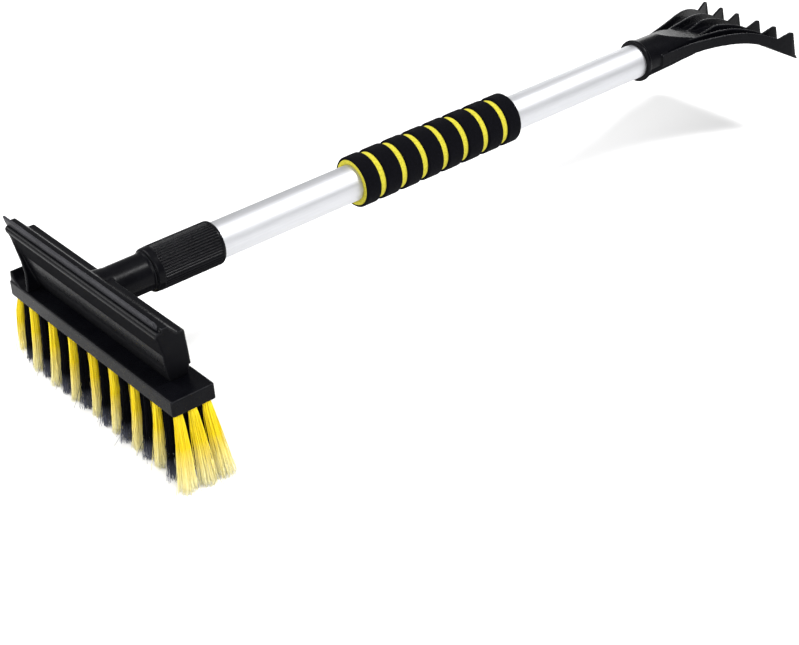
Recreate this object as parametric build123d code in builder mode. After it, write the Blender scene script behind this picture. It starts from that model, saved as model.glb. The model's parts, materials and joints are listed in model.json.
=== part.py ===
from build123d import *
import math
import os

# Telescopic snow brush with a squeegee and an ice scraper.
#
# Frame: millimetres, +X along the handle from the brush to the scraper, +Y along the brush, +Z up.
# The bristles point down and their tips stand on z = 0. The origin is the middle of the footprint.
# Stations along the handle are counted from the middle of the brush block and placed by at(station),
# and heights are counted from the handle's axis and placed by up(height).

os.makedirs("parts", exist_ok=True)

# ---------------------------------------------------------------- driving dimensions
AXIS_H = 99.5             # handle axis above the bristle tips

# handle tubes
TUBE_R = 14.0
TUBE_BORE_R = 12.8
TUBE_START = 62.0
TUBE_END = 538.5
INNER_R = 11.0
INNER_BORE_R = 10.0
INNER_START = 14.0
INNER_END = 492.5

# guide bush, held on the inner tube between a rolled bead and the end plug
RUN_CLEARANCE = 0.05
BUSH_START = 470.0
BUSH_END = 492.0
BEAD_R = 12.2
BEAD_W = 3.4
PLUG_L = 12.0
PLUG_WALL = 2.0
PLUG_FLANGE = 3.0

# twist lock
COLLAR_R = 16.5
COLLAR_START = 37.4
COLLAR_LIP_END = 42.2
COLLAR_END = 93.5
COLLAR_RIBS = 48
COLLAR_RIB_DEPTH = 0.55
COLLAR_BORE_R = 11.4
COLLET_R = 15.2
COLLET_NOSE = 44.0
COLLET_SHOULDER = 58.0
COLLET_SLIT = 1.2

# foam grip
GRIP_START = 217.0
GRIP_END = 369.3
GRIP_R = 19.85
CORE_R = 17.9
BAND_COUNT = 8
GROOVE_W = 5.0
BAND_PITCH = 20.07
BAND_ROUND = 1.5

# brush block
BLOCK_NEAR = -107.3       # the block's two ends along the brush, at its bottom
BLOCK_FAR = 109.4
BLOCK_DRAFT = 2.6         # how far the far end leans inwards up to its lip
BLOCK_W = 33.8
BLOCK_TOP = -31.1
BLOCK_BOTTOM = -43.3
BLOCK_CORNER = 1.6
BLOCK_EDGE = 0.8
LIP_H = 8.3               # the far end's lip above the block's top
LIP_RUN = 16.0
LIP_T = 1.6

# tufts
COLUMN_PITCH = 13.75
EVEN_COLUMNS = 14
COLUMN_START = -90.2      # the first of the evenly spaced columns
NEAR_COLUMN = -103.3      # the columns at the ends stand closer to their neighbours
FAR_COLUMNS = (96.4, 104.2)
ROW_PITCH = 11.2
HOLE_R = 2.8
HOLE_DEPTH = 8.0
TUFT_R = 2.75
TIP_R = 4.8
FRONT_LEAN = 4.3          # how far the outer rows' tips lean out across the brush
TIP_REACH = 115.4         # how far the end columns' tips reach along the brush, leaning out
STAPLE_L = 5.0
STAPLE_T = 0.5
STAPLE_H = 1.6

# squeegee holder and rubber blade
HOLDER_BASE_Y = 86.0      # half length at the foot
HOLDER_OVERRUN = 120.0    # half length of the plain moulding before its ends are cut
END_SLOPE = 0.28          # the ends lean outwards going up
EDGE_ROUND = 0.9
END_WALL_T = 2.6          # the wall that closes the cove at the far end
BLADE_T = 2.4
BLADE_TIP = (-13.9, 23.2)
BLADE_LEAN = 18.0         # degrees, towards the front
BLADE_NEAR = -95.0        # the blade's two ends; the channel is closed beyond the first
BLADE_FAR = 103.0
BLADE_DEPTH = 14.0        # from the blade's tip down to its root bead
BLADE_BEAD_R = 2.5
NECK_R = 14.0
NECK_RING_R = 14.9
NECK_RING_W = 1.8
NECK_START = 2.0
NECK_END = 37.0
NECK_SCREW_X = 26.0

# scraper head
SOCKET_START = 511.5
SOCKET_R = 16.0
SOCKET_TAPER = 1.6
SOCKET_RING_R = 17.5
SOCKET_RING_L = 4.0
SOCKET_TIP = 592.0
SCRAPER_SCREWS = (519.0, 531.0)
SCOOP_START = 539.0       # where the oval scoop leaves the socket's crown
SCOOP_SLOPE = 0.3
SCOOP_RUN = 70.0
PLATE_T = 2.6
RIB_T = 2.0
FAN_HALF_W = 50.1
BLADE_EDGE = (658.6, -30.8)
TOOTH_TIP = (648.2, -3.3)   # the blunt top of each tooth runs down from here
TOOTH_TIP_W = 3.4
TOOTH_TIP_DROP = 1.3
BEYOND = 662.0            # a station past everything, where outlines are closed off

# screws, all with a cross slot in a flat head
SCREW_R = 1.7
SCREW_HEAD_R = 3.1
SCREW_HEAD_H = 1.6
SPOT_DEPTH = 0.8          # the flat seats cut for the radial screws' heads
TUBE_SCREW_L = 3.8
NECK_SCREW_L = 5.4
SINK_DEPTH = 3.0          # the deep seats under the brush block
SUNK_HEAD_H = 2.4
BLOCK_SCREW_L = 22.0
SLOT_L = 3.4
SLOT_W = 0.8
SLOT_DEPTH = 0.9

FRONT_REACH = ROW_PITCH + FRONT_LEAN + TIP_R
HEAD_X = -(BLADE_EDGE[0] - FRONT_REACH) / 2


def at(station):
    """X of a station counted from the middle of the brush block."""
    return HEAD_X + station


def up(height):
    """Z of a height counted from the handle axis."""
    return AXIS_H + height


def side(points):
    """Points (station, height) as coordinates in the side view."""
    return [(at(x), up(z)) for x, z in points]


def across(station):
    """Plane across the handle at a station, centred on its axis: local x is +Y and local y is +Z."""
    return Plane(origin=(at(station), 0, up(0)), x_dir=(0, 1, 0), z_dir=(1, 0, 0))


def save(builder, name):
    """Label a finished piece and write its STEP file."""
    builder.part.label = name
    export_step(builder.part, "parts/" + name + ".step")


# the side view's plane has +X as its local x and +Z as its local y
SIDE = Plane(origin=(0, 0, 0), x_dir=(1, 0, 0), z_dir=(0, -1, 0))
HANDLE_AXIS = Axis((0, 0, up(0)), (1, 0, 0))
STANDING = (Align.CENTER, Align.CENTER, Align.MIN)

even_y = [COLUMN_START + i * COLUMN_PITCH for i in range(EVEN_COLUMNS)]
column_y = [NEAR_COLUMN, *even_y, *FAR_COLUMNS]
row_x = [-ROW_PITCH, 0.0, ROW_PITCH]
tuft_places = [(at(x), y) for x in row_x for y in column_y]
# the block screws sit between the tufts
block_screw_y = [(even_y[i] + even_y[i + 1]) / 2 for i in (2, 10)]
block_screw_places = [(at(ROW_PITCH / 2), y, up(BLOCK_BOTTOM)) for y in block_screw_y]

# ---------------------------------------------------------------- handle tubes
with BuildPart() as outer_tube:
    with BuildSketch(across(TUBE_START)):
        Circle(TUBE_R)
        Circle(TUBE_BORE_R, mode=Mode.SUBTRACT)
    extrude(amount=TUBE_END - TUBE_START)
    with Locations([(at(station), 0, up(-TUBE_R - 1)) for station in SCRAPER_SCREWS]):
        Cylinder(SCREW_R, 6, align=STANDING, mode=Mode.SUBTRACT)
save(outer_tube, "outer_tube")

with BuildPart() as inner_tube:
    with BuildSketch(across(INNER_START)):
        Circle(INNER_R)
        Circle(INNER_BORE_R, mode=Mode.SUBTRACT)
    extrude(amount=INNER_END - INNER_START)
    with BuildSketch(SIDE):
        bead_end = BUSH_START - 0.6
        Polygon(
            *side([
                (bead_end - BEAD_W, INNER_R - 0.3),
                (bead_end - BEAD_W, INNER_R),
                (bead_end - BEAD_W + 0.8, BEAD_R),
                (bead_end - 0.8, BEAD_R),
                (bead_end, INNER_R),
                (bead_end, INNER_R - 0.3),
            ]),
            align=None,
        )
    revolve(axis=HANDLE_AXIS)
    with Locations((at(NECK_SCREW_X), 0, up(-NECK_R - 1))):
        Cylinder(SCREW_R, 6, align=STANDING, mode=Mode.SUBTRACT)
save(inner_tube, "inner_tube")

with BuildPart() as guide_bush:
    with BuildSketch(across(BUSH_START)):
        Circle(TUBE_BORE_R - RUN_CLEARANCE)
        Circle(INNER_R + RUN_CLEARANCE, mode=Mode.SUBTRACT)
    extrude(amount=BUSH_END - BUSH_START)
    chamfer(guide_bush.edges().filter_by(GeomType.CIRCLE).group_by(SortBy.RADIUS)[-1], 0.5)
save(guide_bush, "guide_bush")

with BuildPart() as end_plug:
    with BuildSketch(across(INNER_END - PLUG_L)):
        Circle(INNER_BORE_R)
    extrude(amount=PLUG_L)
    with BuildSketch(across(INNER_END)):
        Circle(BEAD_R)
    extrude(amount=PLUG_FLANGE)
    chamfer(end_plug.faces().sort_by(Axis.X)[-1].edges(), 0.8)
    with BuildSketch(across(INNER_END - PLUG_L)):
        Circle(INNER_BORE_R - PLUG_WALL)
    extrude(amount=PLUG_L - PLUG_WALL, mode=Mode.SUBTRACT)
save(end_plug, "end_plug")

# ---------------------------------------------------------------- twist lock
with BuildPart() as collet:
    with BuildSketch(SIDE):
        Polygon(
            *side([
                (COLLET_NOSE, INNER_R + RUN_CLEARANCE),
                (COLLET_NOSE, 12.3),
                (COLLET_SHOULDER, 13.1),
                (COLLET_SHOULDER, COLLET_R),
                (COLLAR_END - 0.5, COLLET_R),
                (COLLAR_END - 0.5, TUBE_R),
                (TUBE_START, TUBE_R),
                (TUBE_START, INNER_R + RUN_CLEARANCE),
            ]),
            align=None,
        )
    revolve(axis=HANDLE_AXIS)
    # two crossed slits part the nose into four fingers
    with BuildSketch(across(COLLET_NOSE - 1)):
        Rectangle(COLLET_SLIT, 40)
        Rectangle(40, COLLET_SLIT)
    extrude(amount=COLLET_SHOULDER - COLLET_NOSE, mode=Mode.SUBTRACT)
save(collet, "collet")

with BuildPart() as lock_collar:
    with BuildSketch(SIDE):
        Polygon(
            *side([
                (COLLAR_START, COLLAR_BORE_R),
                (COLLAR_START, COLLAR_R - 1.0),
                (COLLAR_START + 0.6, COLLAR_R - 0.4),
                (COLLAR_LIP_END - 0.8, COLLAR_R - 0.2),
                (COLLAR_LIP_END, COLLAR_R),
                (COLLAR_END - 2.0, COLLAR_R),
                (COLLAR_END - 0.7, COLLAR_R - 0.5),
                (COLLAR_END, COLLAR_R - 1.0),
                (COLLAR_END, COLLET_R + RUN_CLEARANCE),
                (COLLET_SHOULDER - 1.0, COLLET_R + RUN_CLEARANCE),
                (COLLET_SHOULDER - 1.0, 13.7),
                (COLLET_NOSE - 1.0, 12.9),
                (COLLET_NOSE - 1.0, COLLAR_BORE_R),
            ]),
            align=None,
        )
    revolve(axis=HANDLE_AXIS)
    # fine grooves along the grip zone leave the ribs between them
    with BuildSketch(across(COLLAR_LIP_END)):
        with PolarLocations(COLLAR_R + 0.15, COLLAR_RIBS):
            Circle(COLLAR_RIB_DEPTH + 0.15)
    extrude(amount=COLLAR_END - COLLAR_LIP_END - 2.6, mode=Mode.SUBTRACT)
save(lock_collar, "lock_collar")

# ---------------------------------------------------------------- foam grip
with BuildPart() as grip_core:
    with BuildSketch(across(GRIP_START)):
        Circle(CORE_R)
        Circle(TUBE_R, mode=Mode.SUBTRACT)
    extrude(amount=GRIP_END - GRIP_START)
save(grip_core, "grip_core")

# the bands between the end ones are all alike, and the end ones share what is left of the length
end_band_w = (GRIP_END - GRIP_START - (BAND_COUNT - 2) * BAND_PITCH - GROOVE_W) / 2
first_groove = GRIP_START + end_band_w
for i in range(BAND_COUNT):
    start = GRIP_START if i == 0 else first_groove + GROOVE_W + (i - 1) * BAND_PITCH
    end = GRIP_END if i == BAND_COUNT - 1 else first_groove + i * BAND_PITCH
    with BuildPart() as grip_band:
        with BuildSketch(across(start)):
            Circle(GRIP_R)
            Circle(CORE_R, mode=Mode.SUBTRACT)
        extrude(amount=end - start)
        fillet(grip_band.edges().filter_by(GeomType.CIRCLE).group_by(SortBy.RADIUS)[-1], BAND_ROUND)
    save(grip_band, f"grip_band_{i + 1}")

# ---------------------------------------------------------------- brush block, tufts and staples
with BuildPart() as brush_block:
    with BuildSketch(Plane.XY.offset(up(BLOCK_BOTTOM))):
        with Locations((at(0), (BLOCK_NEAR + BLOCK_FAR) / 2)):
            RectangleRounded(BLOCK_W, BLOCK_FAR - BLOCK_NEAR, BLOCK_CORNER)
    extrude(amount=BLOCK_TOP - BLOCK_BOTTOM)
    fillet(brush_block.faces().sort_by(Axis.Z)[-1].edges(), BLOCK_EDGE)
    # the top sweeps up to a low lip at the far end only
    with BuildSketch(Plane.YZ.offset(at(-BLOCK_W / 2 + BLOCK_EDGE))):
        with BuildLine():
            lip_end = BLOCK_FAR - BLOCK_DRAFT
            lip_foot = (lip_end - LIP_RUN, up(BLOCK_TOP))
            lip_hollow = (lip_end - 0.42 * LIP_RUN, up(BLOCK_TOP + 0.3 * LIP_H))
            lip_crest = (lip_end - LIP_T, up(BLOCK_TOP + LIP_H))
            ThreePointArc(lip_foot, lip_hollow, lip_crest)
            Polyline(
                lip_crest,
                (BLOCK_FAR, up(BLOCK_TOP + LIP_H)),
                (BLOCK_FAR, up(BLOCK_TOP - 1.0)),
                (lip_end - LIP_RUN, up(BLOCK_TOP - 1.0)),
                lip_foot,
            )
        make_face()
    extrude(amount=BLOCK_W - 2 * BLOCK_EDGE)
    draft = BLOCK_DRAFT / (BLOCK_TOP + LIP_H - BLOCK_BOTTOM)
    split(bisect_by=Plane(origin=(0, BLOCK_FAR, up(BLOCK_BOTTOM)), z_dir=(0, 1, draft)), keep=Keep.BOTTOM)
    with BuildSketch(Plane.XY.offset(up(BLOCK_BOTTOM))):
        with Locations(tuft_places):
            Circle(HOLE_R)
    extrude(amount=HOLE_DEPTH, mode=Mode.SUBTRACT)
    with Locations(block_screw_places):
        Cylinder(SCREW_R, BLOCK_TOP - BLOCK_BOTTOM, align=STANDING, mode=Mode.SUBTRACT)
        Cylinder(SCREW_HEAD_R, SINK_DEPTH, align=STANDING, mode=Mode.SUBTRACT)
save(brush_block, "brush_block")

TUFT_TOP = BLOCK_BOTTOM + HOLE_DEPTH - STAPLE_H
for i, y in enumerate(column_y):
    # the end columns lean out along the brush, and the close one beside the far end leans half as much
    lean_y = 0.0
    if y in (column_y[0], column_y[-1]):
        lean_y = math.copysign(TIP_REACH - TIP_R, y) - y
    elif y == FAR_COLUMNS[0]:
        lean_y = (TIP_REACH - TIP_R - FAR_COLUMNS[1]) / 2
    with BuildPart() as tufts:
        for x in row_x:
            lean_x = FRONT_LEAN * x / ROW_PITCH
            with BuildSketch(Plane.XY.offset(up(BLOCK_BOTTOM))):
                with Locations((at(x), y)):
                    Circle(TUFT_R)
            with BuildSketch(Plane.XY):
                with Locations((at(x + lean_x), y + lean_y)):
                    Circle(TIP_R)
            loft()
            with Locations((at(x), y, up(BLOCK_BOTTOM))):
                Cylinder(TUFT_R, TUFT_TOP - BLOCK_BOTTOM, align=STANDING)
    save(tufts, f"tufts_{i + 1:02d}")

with BuildPart() as tuft_staples:
    with BuildSketch(Plane.XY.offset(up(TUFT_TOP))):
        with Locations(tuft_places):
            Rectangle(STAPLE_L, STAPLE_T)
    extrude(amount=STAPLE_H)
save(tuft_staples, "tuft_staples")

with BuildPart() as block_screws:
    head_inset = SINK_DEPTH - SUNK_HEAD_H
    with Locations([(x, y, z + head_inset) for x, y, z in block_screw_places]):
        Cylinder(SCREW_HEAD_R, SUNK_HEAD_H, align=STANDING)
        Cylinder(SCREW_R, BLOCK_SCREW_L, align=STANDING)
        Box(SLOT_L, SLOT_W, SLOT_DEPTH, align=STANDING, mode=Mode.SUBTRACT)
        Box(SLOT_W, SLOT_L, SLOT_DEPTH, align=STANDING, mode=Mode.SUBTRACT)
save(block_screws, "block_screws")

# ---------------------------------------------------------------- squeegee holder, blade and neck screw
# local -y runs down the leaning blade from its tip
lean = math.radians(BLADE_LEAN)
BLADE_PLANE = Plane(
    origin=(at(BLADE_TIP[0]), 0, up(BLADE_TIP[1])),
    x_dir=(math.cos(lean), 0, math.sin(lean)),
    z_dir=(0, -1, 0),
)
# the holder's section: a bulging cove up the front, a rounded front lip, then over the blade's channel,
# down to a ledge and down the open back
FRONT_COVE = [(-3.6, BLOCK_TOP), (-7.5, -18.5), (-10.2, -4.8)]
FRONT_LIP = [(-15.6, 11.9), (-16.6, 15.0), (-14.1, 17.5)]
CHANNEL_TOP = [(-12.2, 17.5), (-12.2, 20.2), (-7.0, 20.2)]
LEDGE = [(0.5, 11.3), (5.8, 11.1)]
BACK = [(12.5, -22.5), (11.0, -22.5), (11.0, BLOCK_TOP)]
# the open back's hollow, and its spans between the ribs on each side of the neck
POCKET = [(0.5, -27.5), (-5.0, -6.5), (-8.0, 3.5), (20.0, 3.5), (20.0, -27.5)]
POCKET_SPANS = [(17.0, 27.0), (29.5, 39.5), (42.0, 51.0), (59.7, 68.7), (71.2, 81.0)]
# the side of the wall at the far end, which reaches from under the front lip to the block's front edge
END_WALL_FRONT = [(-15.2, 12.4), (-12.9, -9.0), (-12.8, -19.0), (-14.4, -27.0), (-15.8, BLOCK_TOP)]
END_WALL = [*END_WALL_FRONT, (0, BLOCK_TOP), (0, 12.4)]
# the flared root of the neck, revolved about the handle's axis
NECK_ROOT = [(-3.0, 8.0), (-3.0, 15.6), (8.5, NECK_R - 0.1), (8.5, 8.0)]


def end_plane(sign, inset=0.0):
    """The sloping plane that ends the holder on one side, moved inwards by inset."""
    return Plane(origin=(0, sign * (HOLDER_BASE_Y - inset), up(BLOCK_TOP)), z_dir=(0, sign, -END_SLOPE))


with BuildPart() as far_wall:
    with BuildSketch(SIDE):
        Polygon(*side(END_WALL), align=None)
    extrude(amount=-HOLDER_OVERRUN)
    split(bisect_by=end_plane(1, END_WALL_T), keep=Keep.TOP)

with BuildPart() as squeegee_holder:
    with BuildSketch(SIDE):
        with BuildLine():
            ThreePointArc(*side(FRONT_COVE))
            ThreePointArc(*side(FRONT_LIP))
            Line(*side([FRONT_COVE[-1], FRONT_LIP[0]]))
            Polyline(*side([FRONT_LIP[-1], *CHANNEL_TOP, *LEDGE, *BACK, FRONT_COVE[0]]))
        make_face()
    extrude(amount=HOLDER_OVERRUN, both=True)
    long_edges = squeegee_holder.edges().filter_by(Axis.Y)
    fillet(long_edges.filter_by_position(Axis.Z, up(-20), up(12)), EDGE_ROUND)
    add(far_wall.part)
    with BuildSketch(BLADE_PLANE.offset(-HOLDER_OVERRUN)):
        with Locations((0, -BLADE_DEPTH / 2)):
            Rectangle(BLADE_T, BLADE_DEPTH)
        with Locations((0, -BLADE_DEPTH)):
            Circle(BLADE_BEAD_R)
    extrude(amount=HOLDER_OVERRUN - BLADE_NEAR, mode=Mode.SUBTRACT)
    for sign in (1, -1):
        for near, far in POCKET_SPANS:
            with BuildSketch(SIDE.offset(-sign * near)):
                Polygon(*side(POCKET), align=None)
            extrude(amount=-sign * (far - near), mode=Mode.SUBTRACT)
    for sign in (1, -1):
        split(bisect_by=end_plane(sign), keep=Keep.BOTTOM)
    with BuildSketch(SIDE):
        Polygon(*side(NECK_ROOT), align=None)
    revolve(axis=HANDLE_AXIS)
    with BuildSketch(across(NECK_START)):
        Circle(NECK_R)
    extrude(amount=NECK_END - NECK_START - 1)
    ring_start = NECK_END - NECK_RING_W
    with BuildSketch(SIDE):
        Polygon(
            *side([
                (ring_start, INNER_R + 1),
                (ring_start, NECK_RING_R - 0.8),
                (ring_start + 0.8, NECK_RING_R),
                (NECK_END - 0.6, NECK_RING_R),
                (NECK_END, NECK_RING_R - 0.6),
                (NECK_END, INNER_R + 1),
            ]),
            align=None,
        )
    revolve(axis=HANDLE_AXIS)
    with BuildSketch(across(INNER_START)):
        Circle(INNER_R)
    extrude(amount=NECK_END - INNER_START, mode=Mode.SUBTRACT)
    with Locations((at(NECK_SCREW_X), 0, up(-NECK_R + SPOT_DEPTH))):
        Cylinder(SCREW_HEAD_R, 5, align=(Align.CENTER, Align.CENTER, Align.MAX), mode=Mode.SUBTRACT)
        Cylinder(SCREW_R, 5, align=STANDING, mode=Mode.SUBTRACT)
    with Locations(block_screw_places):
        Cylinder(SCREW_R, head_inset + BLOCK_SCREW_L, align=STANDING, mode=Mode.SUBTRACT)
save(squeegee_holder, "squeegee_holder")

with BuildPart() as squeegee_blade:
    with BuildSketch(BLADE_PLANE.offset(-BLADE_FAR)):
        with Locations((0, -BLADE_DEPTH / 2)):
            Rectangle(BLADE_T, BLADE_DEPTH)
        with Locations((0, -BLADE_DEPTH)):
            Circle(BLADE_BEAD_R)
    extrude(amount=BLADE_FAR - BLADE_NEAR)
save(squeegee_blade, "squeegee_blade")

with BuildPart() as neck_screw:
    with Locations((at(NECK_SCREW_X), 0, up(-NECK_R + SPOT_DEPTH - SCREW_HEAD_H))):
        Cylinder(SCREW_HEAD_R, SCREW_HEAD_H, align=STANDING)
        Cylinder(SCREW_R, NECK_SCREW_L, align=STANDING)
        Box(SLOT_L, SLOT_W, SLOT_DEPTH, align=STANDING, mode=Mode.SUBTRACT)
        Box(SLOT_W, SLOT_L, SLOT_DEPTH, align=STANDING, mode=Mode.SUBTRACT)
save(neck_screw, "neck_screw")

# ---------------------------------------------------------------- scraper head
# half width of the fan, and the heights of its underside and of the ribs' crests, by station
FAN_OUTLINE = [(528, 17.4), (560, 21.8), (592, 31.2), (624, 42.2), (650, FAN_HALF_W)]
FAN_UNDERSIDE = [(528, -5.2), (552, -3.1), (584, -2.0), (608, -4.7), (624, -10.2), (640, -19.6)]
FAN_CREST = [(528, 4.9), (552, 6.5), (584, 7.1), (604, 5.6), (620, 1.2), (637, -6.8)]
# the plate thins towards the edge
FAN_TOP = [(x, z + PLATE_T) for x, z in FAN_UNDERSIDE[:-1]] + [(640, -16.5), (656.8, -27.0)]
RIB_FOOT = [(x, z + PLATE_T / 2) for x, z in FAN_UNDERSIDE] + [(656.0, -28.0)]
# each rib's share of the fan's half width, and the station where the scoop ends and the inner ribs start
RIB_ROWS = [-1.0, -0.615, -0.235, 0.235, 0.615, 1.0]
INNER_RIBS_START = 566
# above this line the two ribs nearest the middle are cut away, so that they rise gently
MIDDLE_RISE = [(560, 2.6), (580, 2.6), (600, 6.3), (600, 14), (560, 14)]
BELLY = [(549, -16.5), (600, -2.6), (600, -40), (549, -40)]
NOSE_HOLLOW = [(551, -30), (551, 9.0), (582, -0.3), (582, -30)]
NOSE_HOLLOW_W = 8.4
NOSE_HOLLOW_Y = 5.9


def rib_side(share, offset):
    """Plan points of one side of the rib at a share of the fan's half width."""
    return [(at(x), share * (w - RIB_T / 2) + offset) for x, w in FAN_OUTLINE]


with BuildPart() as fan_plate:
    with BuildSketch(SIDE):
        with BuildLine():
            low = Spline(*side([*FAN_UNDERSIDE, BLADE_EDGE]))
            high = Spline(*side(FAN_TOP))
            Line(low @ 0, high @ 0)
            Line(low @ 1, high @ 1)
        make_face()
    extrude(amount=60, both=True)
    with BuildSketch(Plane.XY):
        with BuildLine():
            left = Spline(*rib_side(1.0, RIB_T / 2))
            right = Spline(*rib_side(-1.0, -RIB_T / 2))
            Line(left @ 0, right @ 0)
            Polyline(left @ 1, (at(BEYOND), FAN_HALF_W), (at(BEYOND), -FAN_HALF_W), right @ 1)
        make_face()
    extrude(amount=up(60), mode=Mode.INTERSECT)

with BuildPart() as fan_ribs:
    with BuildSketch(SIDE):
        with BuildLine():
            crest = Spline(*side(FAN_CREST))
            foot = Spline(*side(RIB_FOOT))
            tip = side([TOOTH_TIP, (TOOTH_TIP[0] + TOOTH_TIP_W, TOOTH_TIP[1] - TOOTH_TIP_DROP)])
            Polyline(crest @ 1, tip[0], tip[1], foot @ 1)
            Line(crest @ 0, foot @ 0)
        make_face()
    extrude(amount=60, both=True)
    with BuildSketch(Plane.XY):
        for share in RIB_ROWS:
            with BuildLine():
                left = Spline(*rib_side(share, RIB_T / 2))
                right = Spline(*rib_side(share, -RIB_T / 2))
                Line(left @ 0, right @ 0)
                Polyline(left @ 1, (at(BEYOND), (left @ 1).Y), (at(BEYOND), (right @ 1).Y), right @ 1)
            make_face()
        with Locations((at(INNER_RIBS_START), 0)):
            Rectangle(60, 24, align=(Align.MAX, Align.CENTER), mode=Mode.SUBTRACT)
    extrude(amount=up(60), mode=Mode.INTERSECT)
    with BuildSketch(SIDE):
        Polygon(*side(MIDDLE_RISE), align=None)
    extrude(amount=11, both=True, mode=Mode.SUBTRACT)

with BuildPart() as scraper_head:
    ring_end = SOCKET_START + SOCKET_RING_L
    with BuildSketch(SIDE):
        Polygon(
            *side([
                (SOCKET_START, TUBE_R),
                (SOCKET_START, SOCKET_RING_R - 0.8),
                (SOCKET_START + 0.8, SOCKET_RING_R),
                (ring_end - 0.8, SOCKET_RING_R),
                (ring_end, SOCKET_RING_R - 0.8),
                (ring_end, SOCKET_R),
                (SOCKET_TIP, SOCKET_R - SOCKET_TAPER),
                (SOCKET_TIP, 0),
                (TUBE_END, 0),
                (TUBE_END, TUBE_R),
            ]),
            align=None,
        )
    revolve(axis=HANDLE_AXIS)
    # the oval scoop on top and the rising belly underneath
    crown = SOCKET_R - 0.4
    scoop_end = SCOOP_START + SCOOP_RUN
    with BuildSketch(SIDE):
        Polygon(
            *side([
                (SCOOP_START - 10, crown + 10 * SCOOP_SLOPE),
                (scoop_end, crown - SCOOP_RUN * SCOOP_SLOPE),
                (scoop_end, 40),
                (SCOOP_START - 10, 40),
            ]),
            align=None,
        )
    extrude(amount=40, both=True, mode=Mode.SUBTRACT)
    with BuildSketch(SIDE):
        Polygon(*side(BELLY), align=None)
    extrude(amount=40, both=True, mode=Mode.SUBTRACT)
    # hollows that core out the solid nose from below
    for y in (NOSE_HOLLOW_Y, -NOSE_HOLLOW_Y):
        with BuildSketch(SIDE.offset(-y)):
            Polygon(*side(NOSE_HOLLOW), align=None)
        extrude(amount=NOSE_HOLLOW_W / 2, both=True, mode=Mode.SUBTRACT)
    add(fan_plate.part)
    add(fan_ribs.part)
    with BuildSketch(across(SOCKET_START)):
        Circle(TUBE_R)
    extrude(amount=TUBE_END - SOCKET_START, mode=Mode.SUBTRACT)
    with Locations([(at(station), 0, up(-SOCKET_R + SPOT_DEPTH)) for station in SCRAPER_SCREWS]):
        Cylinder(SCREW_HEAD_R, 5, align=(Align.CENTER, Align.CENTER, Align.MAX), mode=Mode.SUBTRACT)
        Cylinder(SCREW_R, 5, align=STANDING, mode=Mode.SUBTRACT)
save(scraper_head, "scraper_head")

with BuildPart() as scraper_screws:
    with Locations([(at(x), 0, up(-SOCKET_R + SPOT_DEPTH - SCREW_HEAD_H)) for x in SCRAPER_SCREWS]):
        Cylinder(SCREW_HEAD_R, SCREW_HEAD_H, align=STANDING)
        Cylinder(SCREW_R, TUBE_SCREW_L, align=STANDING)
        Box(SLOT_L, SLOT_W, SLOT_DEPTH, align=STANDING, mode=Mode.SUBTRACT)
        Box(SLOT_W, SLOT_L, SLOT_DEPTH, align=STANDING, mode=Mode.SUBTRACT)
save(scraper_screws, "scraper_screws")
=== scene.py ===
import json
import math

import bmesh
import bpy
import numpy as np
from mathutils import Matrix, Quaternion, Vector, noise


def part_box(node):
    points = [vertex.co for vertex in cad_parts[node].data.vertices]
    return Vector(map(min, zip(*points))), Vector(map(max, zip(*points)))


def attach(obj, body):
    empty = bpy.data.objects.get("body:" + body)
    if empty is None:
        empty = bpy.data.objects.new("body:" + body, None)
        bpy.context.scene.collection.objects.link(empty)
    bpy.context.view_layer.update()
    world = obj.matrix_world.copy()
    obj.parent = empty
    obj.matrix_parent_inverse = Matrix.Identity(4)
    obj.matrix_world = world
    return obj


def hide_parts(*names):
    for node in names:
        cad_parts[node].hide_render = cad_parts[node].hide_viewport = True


# Looks for the telescopic snow brush: moulded plastic, foam, rubber, aluminium and bristles around the CAD frame.
# Everything is in metres, in the frame's own axes: +X from the brush to the scraper, +Y along the brush, +Z up.

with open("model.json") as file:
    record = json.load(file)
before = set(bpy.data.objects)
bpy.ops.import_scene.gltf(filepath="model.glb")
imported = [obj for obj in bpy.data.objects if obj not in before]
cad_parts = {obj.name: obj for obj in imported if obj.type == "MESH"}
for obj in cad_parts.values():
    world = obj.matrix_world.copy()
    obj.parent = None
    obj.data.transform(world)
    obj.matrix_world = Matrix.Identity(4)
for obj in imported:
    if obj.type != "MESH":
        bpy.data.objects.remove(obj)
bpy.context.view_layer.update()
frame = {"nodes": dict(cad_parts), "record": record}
MM = 0.001


def middle(node):
    """The middle of a CAD node's box."""
    low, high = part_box(node)
    return (low + high) / 2


def size(node):
    """The lengths of a CAD node's box."""
    low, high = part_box(node)
    return high - low


AXIS_Z = middle("outer_tube").z
BLOCK_LOW, BLOCK_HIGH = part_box("brush_block")
BRUSH_X = (BLOCK_LOW.x + BLOCK_HIGH.x) / 2
STEM_TOP = BLOCK_LOW.z


# ---------------------------------------------------------------- shader helpers
# the normal's Z at which a surface starts to count as an underside, and at which it is one
UNDERSIDE_START = -0.19
UNDERSIDE_FULL = -0.30


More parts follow.
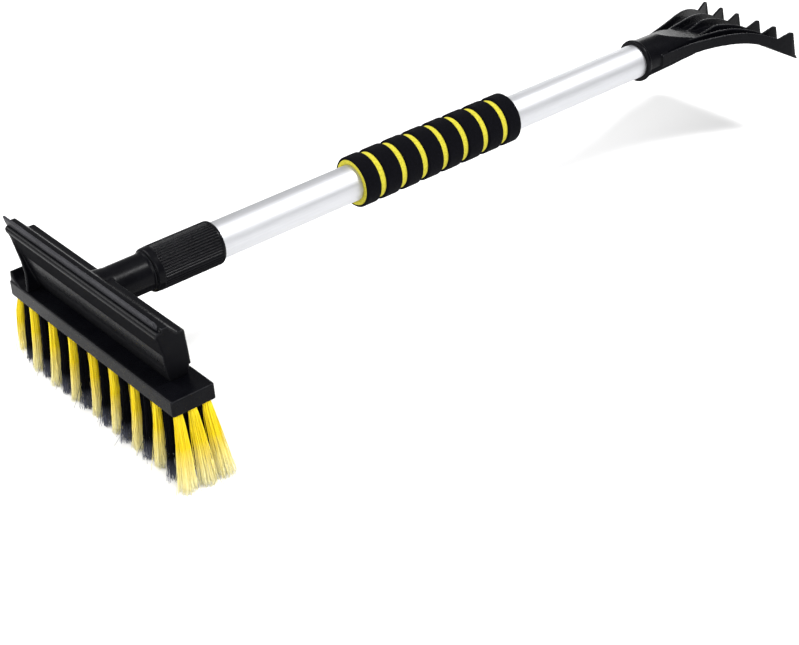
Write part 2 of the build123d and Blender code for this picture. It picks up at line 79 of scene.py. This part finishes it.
class Shader:
    """One Principled material, with short calls for the procedural nodes that feed it."""

    def __init__(self, name, **sockets):
        self.material = bpy.data.materials.new(name)
        self.material.use_nodes = True
        self.tree = self.material.node_tree
        self.surface = self.tree.nodes["Principled BSDF"]
        for socket, value in sockets.items():
            self.surface.inputs[socket.replace("_", " ")].default_value = value
        self.place = self.tree.nodes.new("ShaderNodeTexCoord").outputs["Object"]

    def feed(self, node, socket, value):
        """Links an output to a socket, or sets the socket to a plain value."""
        if isinstance(value, bpy.types.NodeSocket):
            self.tree.links.new(value, node.inputs[socket])
        else:
            node.inputs[socket].default_value = value

    def stretched(self, scale):
        """Object coordinates scaled along each axis, for lines that run one way."""
        node = self.tree.nodes.new("ShaderNodeMapping")
        self.feed(node, "Vector", self.place)
        self.feed(node, "Scale", scale)
        return node.outputs["Vector"]

    def noise(self, scale, detail, roughness, place=None):
        """Fractal noise, in object coordinates unless a place is given."""
        node = self.tree.nodes.new("ShaderNodeTexNoise")
        self.feed(node, "Vector", place or self.place)
        self.feed(node, "Scale", scale)
        self.feed(node, "Detail", detail)
        self.feed(node, "Roughness", roughness)
        return node.outputs["Fac"]

    def cells(self, scale):
        """How far a point is from the middle of its cell."""
        node = self.tree.nodes.new("ShaderNodeTexVoronoi")
        self.feed(node, "Vector", self.place)
        self.feed(node, "Scale", scale)
        return node.outputs["Distance"]

    def spread(self, value, low, high, to_low=0.0, to_high=1.0):
        """Maps a value from one range to another, clamped."""
        node = self.tree.nodes.new("ShaderNodeMapRange")
        for socket, number in (("From Min", low), ("From Max", high), ("To Min", to_low), ("To Max", to_high)):
            self.feed(node, socket, number)
        self.feed(node, "Value", value)
        return node.outputs["Result"]

    def ramp(self, value, stops):
        """Colour along a value, from a list of (position, colour)."""
        node = self.tree.nodes.new("ShaderNodeValToRGB")
        elements = node.color_ramp.elements
        while len(elements) < len(stops):
            elements.new(0.5)
        for element, (position, colour) in zip(elements, stops):
            element.position = position
            element.color = (*colour, 1.0)
        self.feed(node, "Fac", value)
        return node.outputs["Color"]

    def blend(self, factor, first, second):
        """One colour turning into another."""
        node = self.tree.nodes.new("ShaderNodeMix")
        node.data_type = "RGBA"
        for index, value in ((0, factor), (6, first), (7, second)):
            self.feed(node, index, (*value, 1.0) if isinstance(value, tuple) else value)
        return node.outputs[2]

    def maths(self, operation, first, second):
        """Two values added, multiplied or compared."""
        node = self.tree.nodes.new("ShaderNodeMath")
        node.operation = operation
        self.feed(node, 0, first)
        self.feed(node, 1, second)
        return node.outputs["Value"]

    def downward(self):
        """How far the surface faces down, from 0 on a wall to 1 on an underside."""
        node = self.tree.nodes.new("ShaderNodeSeparateXYZ")
        self.feed(node, "Vector", self.tree.nodes.new("ShaderNodeNewGeometry").outputs["Normal"])
        return self.spread(node.outputs["Z"], UNDERSIDE_START, UNDERSIDE_FULL)

    def height(self):
        """How high a point is in the piece's own frame."""
        node = self.tree.nodes.new("ShaderNodeSeparateXYZ")
        self.feed(node, "Vector", self.place)
        return node.outputs["Z"]

    def edges(self):
        """Brighter where the surface turns a convex edge."""
        return self.tree.nodes.new("ShaderNodeNewGeometry").outputs["Pointiness"]

    def attribute(self, name):
        """A number stored on the mesh's points."""
        node = self.tree.nodes.new("ShaderNodeAttribute")
        node.attribute_name = name
        return node.outputs["Fac"]

    def colour(self, value):
        self.feed(self.surface, "Base Color", value)

    def rough(self, value):
        self.feed(self.surface, "Roughness", value)

    def bump(self, height, distance, strength):
        """Relief from a height, as deep as the distance in metres."""
        node = self.tree.nodes.new("ShaderNodeBump")
        self.feed(node, "Height", height)
        self.feed(node, "Distance", distance)
        self.feed(node, "Strength", strength)
        self.feed(self.surface, "Normal", node.outputs["Normal"])


# ---------------------------------------------------------------- materials
def moulded_plastic():
    """Satin moulded plastic: a fine spark-eroded grain, faint flow marks, a painted highlight along convex edges and
    dull undersides.
    """
    shader = Shader("black_plastic", Specular_IOR_Level=0.06)
    flow = shader.noise(55, 4, 0.6)
    body = shader.ramp(flow, [(0.3, (0.0012, 0.0012, 0.0020)), (0.75, (0.0030, 0.0031, 0.0042))])
    # convex edges are painted a lighter grey, broken up by noise: a painted highlight along the edges
    edge_highlight = shader.maths("MULTIPLY", shader.spread(shader.edges(), 0.52, 0.62), shader.noise(140, 3, 0.6))
    shader.colour(shader.blend(edge_highlight, body, (0.055, 0.056, 0.062)))
    satin = shader.spread(shader.noise(260, 5, 0.65), 0.25, 0.75, 0.22, 0.36)
    shader.rough(shader.maths("MAXIMUM", satin, shader.downward()))
    shader.bump(shader.noise(2600, 2, 0.5), 0.015 * MM, 0.30)
    return shader.material


def drawn_aluminium():
    """Satin aluminium tube with lines drawn along it and a few scuffed patches."""
    shader = Shader("satin_aluminium", Metallic=1.0)
    lines = shader.noise(1.0, 4, 0.6, shader.stretched((9, 900, 900)))
    scuffs = shader.noise(34, 6, 0.7)
    shader.colour(shader.ramp(lines, [(0.25, (0.53, 0.535, 0.555)), (0.8, (0.59, 0.595, 0.615))]))
    shader.rough(shader.spread(shader.maths("ADD", lines, scuffs), 0.6, 1.4, 0.50, 0.60))
    shader.bump(lines, 0.03 * MM, 0.15)
    return shader.material


def foam(name, dark, light, pore, sheen):
    """Closed-cell foam: small pores over a softly mottled colour."""
    shader = Shader(name, Specular_IOR_Level=0.05, Sheen_Weight=sheen, Sheen_Roughness=0.6)
    cells = shader.cells(1150)
    mottle = shader.noise(600, 5, 0.75)
    body = shader.ramp(mottle, [(0.32, dark), (0.68, light)])
    shader.colour(shader.blend(shader.spread(cells, 0.55, 0.15), body, pore))
    shader.rough(shader.spread(mottle, 0.2, 0.8, 0.82, 0.97))
    shader.bump(shader.maths("ADD", cells, mottle), 0.22 * MM, 0.55)
    return shader.material


def rubber():
    """Matte rubber with a dusty bloom and fine lengthwise drag marks."""
    shader = Shader("blade_rubber", Specular_IOR_Level=0.12)
    bloom = shader.noise(85, 6, 0.7)
    drag = shader.noise(1.0, 3, 0.5, shader.stretched((700, 18, 700)))
    shader.colour(shader.ramp(bloom, [(0.3, (0.018, 0.018, 0.021)), (0.75, (0.036, 0.036, 0.041))]))
    shader.rough(shader.spread(drag, 0.3, 0.7, 0.48, 0.64))
    shader.bump(drag, 0.05 * MM, 0.4)
    return shader.material


def plated_steel():
    """Zinc-plated screws and wire: cloudy plating with tiny scratches."""
    shader = Shader("screw_steel", Metallic=1.0)
    cloud = shader.noise(700, 5, 0.7)
    shader.colour(shader.ramp(cloud, [(0.3, (0.50, 0.51, 0.53)), (0.7, (0.68, 0.68, 0.67))]))
    shader.rough(shader.spread(cloud, 0.3, 0.7, 0.24, 0.42))
    shader.bump(shader.noise(2200, 2, 0.5), 0.02 * MM, 0.4)
    return shader.material


def pale_plastic():
    """The plain unpainted nylon of the inner pieces."""
    shader = Shader("inner_plastic", Specular_IOR_Level=0.4)
    cloud = shader.noise(160, 4, 0.6)
    shader.colour(shader.ramp(cloud, [(0.3, (0.66, 0.67, 0.69)), (0.7, (0.78, 0.785, 0.79))]))
    shader.rough(shader.spread(cloud, 0.3, 0.7, 0.42, 0.55))
    shader.bump(shader.noise(1800, 2, 0.5), 0.03 * MM, 0.4)
    return shader.material


def filament(name, stem, stem_pale, tip, fade_from, fade_to, roughness, specular):
    """Bristle filament: each strand has its own tone, and between two heights it turns towards the tip colour: a
    painted sheen on the black filament, and on the yellow a pale worn end brightened with painted light.
    """
    shader = Shader(name, Specular_IOR_Level=specular)
    shade = shader.attribute("strand")
    body = shader.ramp(shade, [(0.0, stem), (1.0, stem_pale)])
    # between the two heights the strand is painted towards its tip colour: painted sheen on the black filament,
    # painted light over the pale worn ends of the yellow
    height = shader.spread(shader.height(), fade_to * STEM_TOP, fade_from * STEM_TOP, 1.0, 0.0)
    fade = shader.maths("MULTIPLY", height, shader.spread(shade, 0.0, 1.0, 0.55, 1.0))
    shader.colour(shader.blend(fade, body, tip))
    crimp = shader.noise(1.0, 2, 0.5, shader.stretched((500, 500, 900)))
    shader.rough(shader.spread(crimp, 0.3, 0.7, roughness, roughness + 0.16))
    shader.bump(crimp, 0.05 * MM, 0.4)
    return shader.material


MATERIALS = {
    "black_plastic": moulded_plastic(),
    "satin_aluminium": drawn_aluminium(),
    "black_foam": foam(
        "black_foam", dark=(0.0010, 0.0010, 0.0018), light=(0.0030, 0.0030, 0.0050),
        pore=(0.0006, 0.0006, 0.0010), sheen=0.003,
    ),
    "yellow_foam": foam(
        "yellow_foam", dark=(0.44, 0.395, 0.028), light=(0.56, 0.50, 0.046),
        pore=(0.32, 0.285, 0.018), sheen=0.04,
    ),
    "blade_rubber": rubber(),
    "screw_steel": plated_steel(),
    "inner_plastic": pale_plastic(),
    # the yellow filament's pale tip colour is partly its worn, frayed ends and partly painted light standing in for
    # light shining through the filament
    "yellow_bristle": filament(
        "yellow_bristle", stem=(0.86, 0.64, 0.004), stem_pale=(0.97, 0.79, 0.024), tip=(0.96, 0.95, 0.68),
        fade_from=0.58, fade_to=0.02, roughness=0.30, specular=0.25,
    ),
    # the black filament's blue-grey tip colour over its lower part is a painted sheen
    "black_bristle": filament(
        "black_bristle", stem=(0.0008, 0.0008, 0.0014), stem_pale=(0.0030, 0.0030, 0.0050), tip=(0.17, 0.18, 0.24),
        fade_from=0.30, fade_to=0.0, roughness=0.45, specular=0.04,
    ),
}


# ---------------------------------------------------------------- piece helpers
def build(name, vertices, faces):
    """A smooth-shaded object from plain vertices and faces."""
    mesh = bpy.data.meshes.new(name)
    mesh.from_pydata(vertices, [], faces)
    mesh.polygons.foreach_set("use_smooth", [True] * len(mesh.polygons))
    mesh.update()
    piece = bpy.data.objects.new(name, mesh)
    bpy.context.scene.collection.objects.link(piece)
    return piece


def face_outwards(piece):
    """Turns every face of a closed piece to face outwards."""
    mesh = bmesh.new()
    mesh.from_mesh(piece.data)
    bmesh.ops.recalc_face_normals(mesh, faces=mesh.faces)
    mesh.to_mesh(piece.data)
    mesh.free()


def dress(piece, slot, body, *nodes):
    """Gives a piece the material of its slot, lets it ride on a body, and hides the CAD nodes that it stands for."""
    piece.data.materials.clear()
    piece.data.materials.append(MATERIALS[slot])
    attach(piece, body)
    if nodes:
        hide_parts(*nodes)


def smooth_step(value, low, high):
    """Rises smoothly from 0 at the low value to 1 at the high one."""
    share = min(max((value - low) / (high - low), 0.0), 1.0)
    return share * share * (3 - 2 * share)


# ---------------------------------------------------------------- mouldings
WELD_DISTANCE = 0.001 * MM


def moulding(name, node, body, voxel, passes):
    """A plastic moulding: the CAD node's shape with every edge and inner corner softened a little."""
    piece = bpy.data.objects.new(name, frame["nodes"][node].data.copy())
    bpy.context.scene.collection.objects.link(piece)
    welded = bmesh.new()
    welded.from_mesh(piece.data)
    bmesh.ops.remove_doubles(welded, verts=welded.verts, dist=WELD_DISTANCE)
    welded.to_mesh(piece.data)
    welded.free()
    remesh = piece.modifiers.new("remesh", "REMESH")
    remesh.mode = "VOXEL"
    remesh.voxel_size = voxel
    remesh.use_smooth_shade = True
    soften = piece.modifiers.new("soften", "SMOOTH")
    soften.factor = 0.5
    soften.iterations = passes
    shaped = bpy.data.meshes.new_from_object(piece.evaluated_get(bpy.context.evaluated_depsgraph_get()))
    piece.modifiers.clear()
    piece.data = shaped
    dress(piece, "black_plastic", body, node)


moulding("scraper_moulding", "scraper_head", "handle", voxel=0.55 * MM, passes=4)
moulding("holder_moulding", "squeegee_holder", "head", voxel=0.55 * MM, passes=6)
moulding("block_moulding", "brush_block", "head", voxel=0.70 * MM, passes=2)


# ---------------------------------------------------------------- pieces turned about the handle's axis
def turned(name, outline, steps, shape=None):
    """A closed outline of (x, radius) turned about the handle's axis, with a shape that adds to the radius."""
    vertices = []
    for step in range(steps):
        angle = 2 * math.pi * step / steps
        for x, radius in outline:
            if shape:
                radius += shape(x, radius, angle)
            vertices.append((x, radius * math.sin(angle), AXIS_Z + radius * math.cos(angle)))
    count = len(outline)
    faces = []
    for step in range(steps):
        following = (step + 1) % steps
        for i in range(count):
            j = (i + 1) % count
            faces.append((step * count + i, following * count + i, following * count + j, step * count + j))
    piece = build(name, vertices, faces)
    face_outwards(piece)
    return piece


CORNER_STEPS = 6


def sleeve(start, end, inner, outer, corner, pitch):
    """The closed outline of a sleeve whose outer corners are rounded, with points along it every pitch."""
    near = [(start, inner), (start, (inner + outer - corner) / 2)]
    for i in range(CORNER_STEPS + 1):
        turn = math.pi / 2 * i / CORNER_STEPS
        near.append((start + corner * (1 - math.cos(turn)), outer - corner * (1 - math.sin(turn))))
    length = end - start - 2 * corner
    spans = max(2, round(length / pitch))
    flat = [(start + corner + length * i / spans, outer) for i in range(1, spans)]
    far = [(start + end - x, radius) for x, radius in reversed(near)]
    return [*near, *flat, *far]


# scales of the noise that makes a foam surface uneven
FOAM_COARSE = 240
FOAM_FINE = 900


def foam_skin(seed, depth, floor_radius):
    """The small unevenness of a foam surface, as a shape for a turned piece."""
    def shape(x, radius, angle):
        if radius < floor_radius:
            return 0.0
        place = Vector((x, radius * math.cos(angle), radius * math.sin(angle) + seed))
        return depth * (noise.noise(place * FOAM_COARSE) + 0.5 * noise.noise(place * FOAM_FINE)) - depth * 0.6
    return shape


CORE_R = size("grip_core").z / 2
CORE_STEPS = 160
TUBE_R = size("outer_tube").z / 2
core_low, core_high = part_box("grip_core")
core = turned(
    "foam_core", sleeve(core_low.x, core_high.x, TUBE_R, CORE_R, corner=0.5 * MM, pitch=1.2 * MM), CORE_STEPS,
    foam_skin(seed=0.7, depth=0.06 * MM, floor_radius=CORE_R - 0.6 * MM),
)
dress(core, "yellow_foam", "handle", "grip_core")

BANDS = 8
BAND_STEPS = 200
BAND_CORNER = 1.7 * MM
for number in range(1, BANDS + 1):
    node = f"grip_band_{number}"
    low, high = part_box(node)
    outer = (high.z - low.z) / 2
    band = turned(
        f"foam_band_{number}", sleeve(low.x, high.x, CORE_R, outer, BAND_CORNER, pitch=0.8 * MM), BAND_STEPS,
        foam_skin(seed=number, depth=0.09 * MM, floor_radius=outer - BAND_CORNER),
    )
    dress(band, "black_foam", "handle", node)

# the twist collar: a smooth conical lip, then a zone of fine rounded ribs
COLLAR_RIBS = 48
RIB_SAMPLES = 10
RIB_DEPTH = 0.70 * MM
# where a rib's groove starts to rise and where its crest is reached, in shares of the rib's pitch
RIB_FLOOR = 0.08
RIB_CREST = 0.40
# how far a rib's end runs out past the ribbed zone and into it
RUN_OUT = 0.2 * MM
RUN_IN = 1.2 * MM
RUN_STEPS = 8
COLLAR_LIP = 4.8 * MM
COLLAR_PLAIN_END = 2.6 * MM
COLLAR_NOSE_BORE = 11.4 * MM
COLLAR_BORE = size("collet").z / 2 + 0.05 * MM
COLLAR_INNER_STEP = 19.6 * MM
COLLAR_NOSE_L = 5.6 * MM
collar_low, collar_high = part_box("lock_collar")
collar_r = (collar_high.z - collar_low.z) / 2
ribs_start = collar_low.x + COLLAR_LIP
ribs_end = collar_high.x - COLLAR_PLAIN_END


def collar_ribs(x, radius, angle):
    """Narrow grooves between rounded ribs, running out at both ends of the ribbed zone."""
    if radius < collar_r - 0.3 * MM:
        return 0.0
    phase = abs((COLLAR_RIBS * angle / (2 * math.pi) + 0.5) % 1.0 - 0.5)
    groove = 1 - smooth_step(phase, RIB_FLOOR, RIB_CREST)
    start = smooth_step(x, ribs_start - RUN_OUT, ribs_start + RUN_IN)
    end = 1 - smooth_step(x, ribs_end - RUN_IN, ribs_end + RUN_OUT)
    return -RIB_DEPTH * groove * min(start, end)


def rib_end(start):
    """The collar's outline where its ribs run out, in steps fine enough for the slope."""
    return [(start + (RUN_OUT + RUN_IN) * i / RUN_STEPS, collar_r) for i in range(RUN_STEPS + 1)]


collar_outline = [
    (collar_high.x, COLLAR_BORE),
    (collar_low.x + COLLAR_INNER_STEP, COLLAR_BORE),
    (collar_low.x + COLLAR_INNER_STEP, 13.7 * MM),
    (collar_low.x + COLLAR_NOSE_L, 12.9 * MM),
    (collar_low.x + COLLAR_NOSE_L, COLLAR_NOSE_BORE),
    (collar_low.x, COLLAR_NOSE_BORE),
    (collar_low.x, collar_r - 1.3 * MM),
    (collar_low.x + 0.2 * MM, collar_r - 0.8 * MM),
    (collar_low.x + 0.6 * MM, collar_r - 0.45 * MM),
    (collar_low.x + 1.2 * MM, collar_r - 0.3 * MM),
    (collar_low.x + 3.4 * MM, collar_r - 0.2 * MM),
    (ribs_start - 0.5 * MM, collar_r - 0.05 * MM),
    *rib_end(ribs_start - RUN_OUT),
    ((ribs_start + ribs_end) / 2, collar_r),
    *rib_end(ribs_end - RUN_IN),
    (collar_high.x - 2.0 * MM, collar_r),
    (collar_high.x - 1.2 * MM, collar_r - 0.15 * MM),
    (collar_high.x - 0.5 * MM, collar_r - 0.55 * MM),
    (collar_high.x - 0.1 * MM, collar_r - 0.9 * MM),
    (collar_high.x, collar_r - 1.1 * MM),
]
collar = turned("collar_ribbed", collar_outline, COLLAR_RIBS * RIB_SAMPLES, collar_ribs)
dress(collar, "black_plastic", "lock_collar", "lock_collar")


# ---------------------------------------------------------------- squeegee rubber
RUBBER_LEAN = math.radians(18)
RUBBER_T = 2.4 * MM
RUBBER_TIP_T = 1.7 * MM
RUBBER_DEPTH = 14.0 * MM
RUBBER_BEAD_R = 2.5 * MM
NICK_FROM_END = 5.0 * MM
NICK_DEPTH = 0.9 * MM
NICK_HALF_W = 2.6 * MM
RUBBER_ROWS = 260
BEAD_STEPS = 12
# how far down from the tip the wear and the waviness reach
WORN_DEPTH = 4.0 * MM


def rubber_section():
    """The section of the rubber as one closed loop of points (across the strip, down from its tip)."""
    half = RUBBER_T / 2
    tip = RUBBER_TIP_T / 2
    neck = RUBBER_DEPTH - math.sqrt(RUBBER_BEAD_R**2 - half**2)
    left = [(-tip + 0.35 * MM, 0.0), (-tip, 0.35 * MM), (-tip - 0.05 * MM, 1.6 * MM), (-half, 5.0 * MM), (-half, neck)]
    right = [(-across, down) for across, down in reversed(left)]
    bead = []
    start = math.asin(half / RUBBER_BEAD_R)
    for i in range(1, BEAD_STEPS):
        angle = -start - (2 * math.pi - 2 * start) * i / BEAD_STEPS
        bead.append((RUBBER_BEAD_R * math.sin(angle), RUBBER_DEPTH - RUBBER_BEAD_R * math.cos(angle)))
    return [*left, *bead, *right]


rubber_low, rubber_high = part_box("squeegee_blade")
tip_x = rubber_low.x + RUBBER_T / 2 * math.cos(RUBBER_LEAN)
tip_z = rubber_high.z - RUBBER_T / 2 * math.sin(RUBBER_LEAN)
section = rubber_section()
vertices = []
for row in range(RUBBER_ROWS + 1):
    y = rubber_low.y + (rubber_high.y - rubber_low.y) * row / RUBBER_ROWS
    from_end = y - rubber_low.y
    nick = NICK_DEPTH * (1 - smooth_step(abs(from_end - NICK_FROM_END), 0.4 * NICK_HALF_W, NICK_HALF_W))
    ragged = 0.10 * MM * noise.noise(Vector((y * 420, 0.3, 0.1)))
    wave = 0.22 * MM * noise.noise(Vector((y * 22, 0.8, 0.5)))
    for offset, down in section:
        near_tip = max(0.0, 1 - down / WORN_DEPTH)
        drop = down + near_tip * (nick * (1.0 if offset < 0 else 0.55) + ragged)
        push = offset + wave * near_tip
        vertices.append((
            tip_x + push * math.cos(RUBBER_LEAN) + drop * math.sin(RUBBER_LEAN),
            y,
            tip_z + push * math.sin(RUBBER_LEAN) - drop * math.cos(RUBBER_LEAN),
        ))
count = len(section)
faces = [tuple(range(count)), tuple(range(RUBBER_ROWS * count, (RUBBER_ROWS + 1) * count))]
for row in range(RUBBER_ROWS):
    for i in range(count):
        j = (i + 1) % count
        faces.append((row * count + i, row * count + j, (row + 1) * count + j, (row + 1) * count + i))
rubber_strip = build("squeegee_rubber", vertices, faces)
face_outwards(rubber_strip)
dress(rubber_strip, "blade_rubber", "head", "squeegee_blade")


# ---------------------------------------------------------------- bristles
COLUMNS = 17
ROWS = 3
STAPLE_L = 5.0 * MM
TUFT_R = 2.75 * MM
STRANDS = 130
NEAR_STRANDS = 200
RINGS = 12
ROOT_DEPTH = 5.0 * MM
ROOT_R = 2.6 * MM
TIP_R = 4.1 * MM
NEAR_TIP_R = 6.8 * MM
STRAND_R = 0.23 * MM
STRAND_TAPER = 0.62
STRAND_SIDES = 3
CRIMP = 0.18 * MM
STRAY_SHARE = 0.06
GOLDEN_ANGLE = math.pi * (3 - math.sqrt(5))
CUT_UNEVEN = 3.0 * MM
ROW_LEAN = 4.4 * MM
# how far single strands curl away at their tips
YELLOW_FRAY = 1.1 * MM
BLACK_FRAY = 2.2 * MM
# how a tuft opens on its way down: below 1 it opens soon, above 1 it opens late
FLARE = 1.2
NEAR_FLARE = 0.75
staples_low, staples_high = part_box("tuft_staples")
row_pitch = (staples_high.x - staples_low.x - STAPLE_L) / (ROWS - 1)

# along the brush: how far a column's tips lean out, how far its middle bows out, and how much shorter it is
LEAN_Y = {1: -2.6 * MM, 2: -1.0 * MM, 15: 1.6 * MM, 16: 1.5 * MM}
BOW_Y = {0: -1.0 * MM, 15: 1.4 * MM, 16: 4.8 * MM}
SHORTER = {15: 4.0 * MM, 16: 9.0 * MM}
# how the near end's three tufts lean, across and along the brush
NEAR_LEAN = [(-5.0 * MM, -8.5 * MM), (-1.0 * MM, -10.0 * MM), (1.5 * MM, -10.5 * MM)]


def column_root(column):
    """Where a column's tufts leave the block, along the brush; the leaning end ones are measured at their roots."""
    low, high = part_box(f"tufts_{column + 1:02d}")
    if column == 0:
        return high.y - TUFT_R
    if column >= COLUMNS - 2:
        return low.y + TUFT_R
    return (low.y + high.y) / 2


def tuft(rng, strands, root, lean, bow, tip_r, shorter, fray, flare):
    """The paths of one tuft's strands, as an array of (strand, ring, xyz), and each strand's shade."""
    index = np.arange(strands) + 0.5
    radial = np.sqrt(index / strands)
    angle = index * GOLDEN_ANGLE + rng.uniform(-0.4, 0.4, strands)
    fan = np.stack([np.cos(angle), np.sin(angle)], axis=1)
    start = fan * (ROOT_R * radial)[:, None]
    stray = rng.random(strands) < STRAY_SHARE
    splay = np.where(stray, rng.uniform(1.2, 1.9, strands), 1.0)
    end = fan * (tip_r * radial * splay)[:, None] + rng.normal(0, 0.45 * MM, (strands, 2))
    cut = shorter + rng.uniform(0.0, 1.0, strands) ** 2 * CUT_UNEVEN
    along = np.linspace(0, 1, RINGS + 1)
    below = np.clip((along * (root[2] + ROOT_DEPTH) - ROOT_DEPTH) / root[2], 0, 1)
    opening = below**flare
    leaning = below**1.25
    paths = np.zeros((strands, RINGS + 1, 3))
    paths[:, :, :2] = np.array(root[:2]) + start[:, None, :] * (1 - opening)[None, :, None]
    paths[:, :, :2] += end[:, None, :] * opening[None, :, None] + np.array(lean) * leaning[None, :, None]
    paths[:, :, 1] += bow * np.sin(math.pi * below)
    paths[:, :, 2] = root[2] + ROOT_DEPTH - along[None, :] * (root[2] + ROOT_DEPTH - cut[:, None])
    phase = rng.uniform(0, 2 * math.pi, (strands, 2))
    waves = rng.uniform(2.5, 4.0, strands)
    crimp = np.sin(waves[:, None, None] * 2 * math.pi * along[None, :, None] + phase[:, None, :])
    paths[:, :, :2] += CRIMP * crimp * below[None, :, None]
    curl = rng.normal(0, 1, (strands, 2)) * fray * (rng.random(strands) ** 2 + 1.3 * stray)[:, None]
    paths[:, :, :2] += curl[:, None, :] * np.clip((below - 0.6) / 0.4, 0, 1)[None, :, None] ** 1.6
    return paths, rng.random(strands)


def strand_mesh(name, paths, shades):
    """One mesh of thin three-sided strands that taper to their tips, with each strand's shade as an attribute."""
    strands, rings = paths.shape[:2]
    spin = shades[:, None, None] * 7.0 + np.arange(STRAND_SIDES)[None, None, :] * 2 * math.pi / STRAND_SIDES
    width = STRAND_R * np.linspace(1.0, STRAND_TAPER, rings)[None, :, None]
    ring = np.zeros((strands, rings, STRAND_SIDES, 3))
    ring[..., 0] = np.cos(spin) * width
    ring[..., 1] = np.sin(spin) * width
    vertices = (paths[:, :, None, :] + ring).reshape(-1, 3)
    corner = np.arange(strands * rings * STRAND_SIDES).reshape(strands, rings, STRAND_SIDES)
    faces = []
    for side in range(STRAND_SIDES):
        other = (side + 1) % STRAND_SIDES
        quads = np.stack([
            corner[:, :-1, side], corner[:, 1:, side], corner[:, 1:, other], corner[:, :-1, other],
        ], axis=-1)
        faces += quads.reshape(-1, 4).tolist()
    faces += corner[:, 0, :].tolist()
    faces += corner[:, -1, ::-1].tolist()
    piece = build(name, vertices.tolist(), faces)
    shade = piece.data.attributes.new("strand", "FLOAT", "POINT")
    shade.data.foreach_set("value", np.repeat(shades, rings * STRAND_SIDES).astype(np.float32))
    return piece


for column in range(COLUMNS):
    rng = np.random.default_rng(100 + column)
    yellow = column % 2 == 0
    near = column == 0
    root_y = column_root(column)
    bunches = []
    for row in range(ROWS):
        share = row - (ROWS - 1) / 2
        root = (BRUSH_X + share * row_pitch, root_y, BLOCK_LOW.z)
        drift = rng.normal(0, 0.45 * MM, 2)
        lean_x, lean_y = NEAR_LEAN[row] if near else (share * ROW_LEAN, LEAN_Y.get(column, 0.0))
        lean = (lean_x + drift[0], lean_y + drift[1])
        bunches.append(tuft(
            rng, NEAR_STRANDS if near else STRANDS, root, lean, BOW_Y.get(column, 0.0),
            NEAR_TIP_R if near else TIP_R, SHORTER.get(column, 0.0), YELLOW_FRAY if yellow else BLACK_FRAY,
            NEAR_FLARE if near else FLARE,
        ))
    paths = np.concatenate([bunch[0] for bunch in bunches])
    shades = np.concatenate([bunch[1] for bunch in bunches])
    bristles = strand_mesh(f"bristles_{column + 1:02d}", paths, shades)
    face_outwards(bristles)
    dress(bristles, "yellow_bristle" if yellow else "black_bristle", "head", f"tufts_{column + 1:02d}")


# ---------------------------------------------------------------- CAD nodes that keep their own shape
SLOT_OF = {part["node"]: part["material_slot"] for part in frame["record"]["subparts"]}
for name, node in frame["nodes"].items():
    for slot in node.material_slots:
        slot.material = MATERIALS[SLOT_OF[name]]


# ---------------------------------------------------------------- floor, light and camera
FLOOR_HALF = 6.0
FLOOR_CELLS = 12
WORLD_STRENGTH = 0.40


def pale_floor():
    """A plain pale studio floor with a very faint unevenness."""
    shader = Shader("studio_floor", Specular_IOR_Level=0.15)
    cloud = shader.noise(3.0, 3, 0.5)
    shader.colour(shader.ramp(cloud, [(0.3, (0.86, 0.86, 0.86)), (0.7, (0.88, 0.88, 0.88))]))
    shader.rough(shader.spread(cloud, 0.3, 0.7, 0.80, 0.90))
    return shader.material


step = 2 * FLOOR_HALF / FLOOR_CELLS
floor_points = [
    (i * step - FLOOR_HALF, j * step - FLOOR_HALF, 0.0)
    for i in range(FLOOR_CELLS + 1) for j in range(FLOOR_CELLS + 1)
]
floor_faces = []
for i in range(FLOOR_CELLS):
    for j in range(FLOOR_CELLS):
        first = i * (FLOOR_CELLS + 1) + j
        floor_faces.append((first, first + FLOOR_CELLS + 1, first + FLOOR_CELLS + 2, first + 1))
floor = build("studio_floor", floor_points, floor_faces)
floor.data.materials.append(pale_floor())

scene = bpy.context.scene
scene.view_settings.view_transform = "Standard"
world = bpy.data.worlds.new("studio")
world.use_nodes = True
sky = world.node_tree.nodes["Background"]
sky.inputs["Color"].default_value = (1.0, 1.0, 1.0, 1.0)
sky.inputs["Strength"].default_value = WORLD_STRENGTH
scene.world = world

TARGET = Vector((0.0, 0.0, 0.06))


def aimed(obj, place):
    """Places an object and turns its -Z to the middle of the scene."""
    scene.collection.objects.link(obj)
    obj.location = place
    obj.rotation_mode = "QUATERNION"
    obj.rotation_quaternion = (TARGET - Vector(place)).to_track_quat("-Z", "Y")


def soft_light(name, place, width, power):
    """A square studio light: its place and width in metres, and its power in watts."""
    light = bpy.data.lights.new(name, "AREA")
    light.shape = "SQUARE"
    light.size = width
    light.energy = power
    aimed(bpy.data.objects.new(name, light), place)


soft_light("key", (-1.1, 0.9, 1.0), width=1.1, power=25.0)
soft_light("front", (-0.9, -1.3, 0.9), width=1.1, power=19.0)
soft_light("top", (0.2, 0.1, 2.4), width=1.8, power=8.0)
soft_light("gloss", (0.70, -0.73, 1.62), width=0.40, power=34.0)
soft_light("rim", (1.5, 1.4, 0.45), width=0.7, power=6.0)

# the camera stands where the photograph was taken from, with its lens in millimetres on a 36 mm sensor
CAMERA_PLACE = Vector((-0.79555, -0.9701, 0.7291))
CAMERA_FORWARD = Vector((0.5072, 0.6757, -0.5350))
CAMERA_ROLL = math.radians(-4.12)
CAMERA_LENS = 81.77
camera_data = bpy.data.cameras.new("camera")
camera_data.sensor_width = 36.0
camera_data.lens = CAMERA_LENS
camera_data.clip_start = 0.01
camera = bpy.data.objects.new("camera", camera_data)
scene.collection.objects.link(camera)
camera.location = CAMERA_PLACE
camera.rotation_mode = "QUATERNION"
camera.rotation_quaternion = CAMERA_FORWARD.to_track_quat("-Z", "Y") @ Quaternion((0, 0, 1), CAMERA_ROLL)
scene.camera = camera
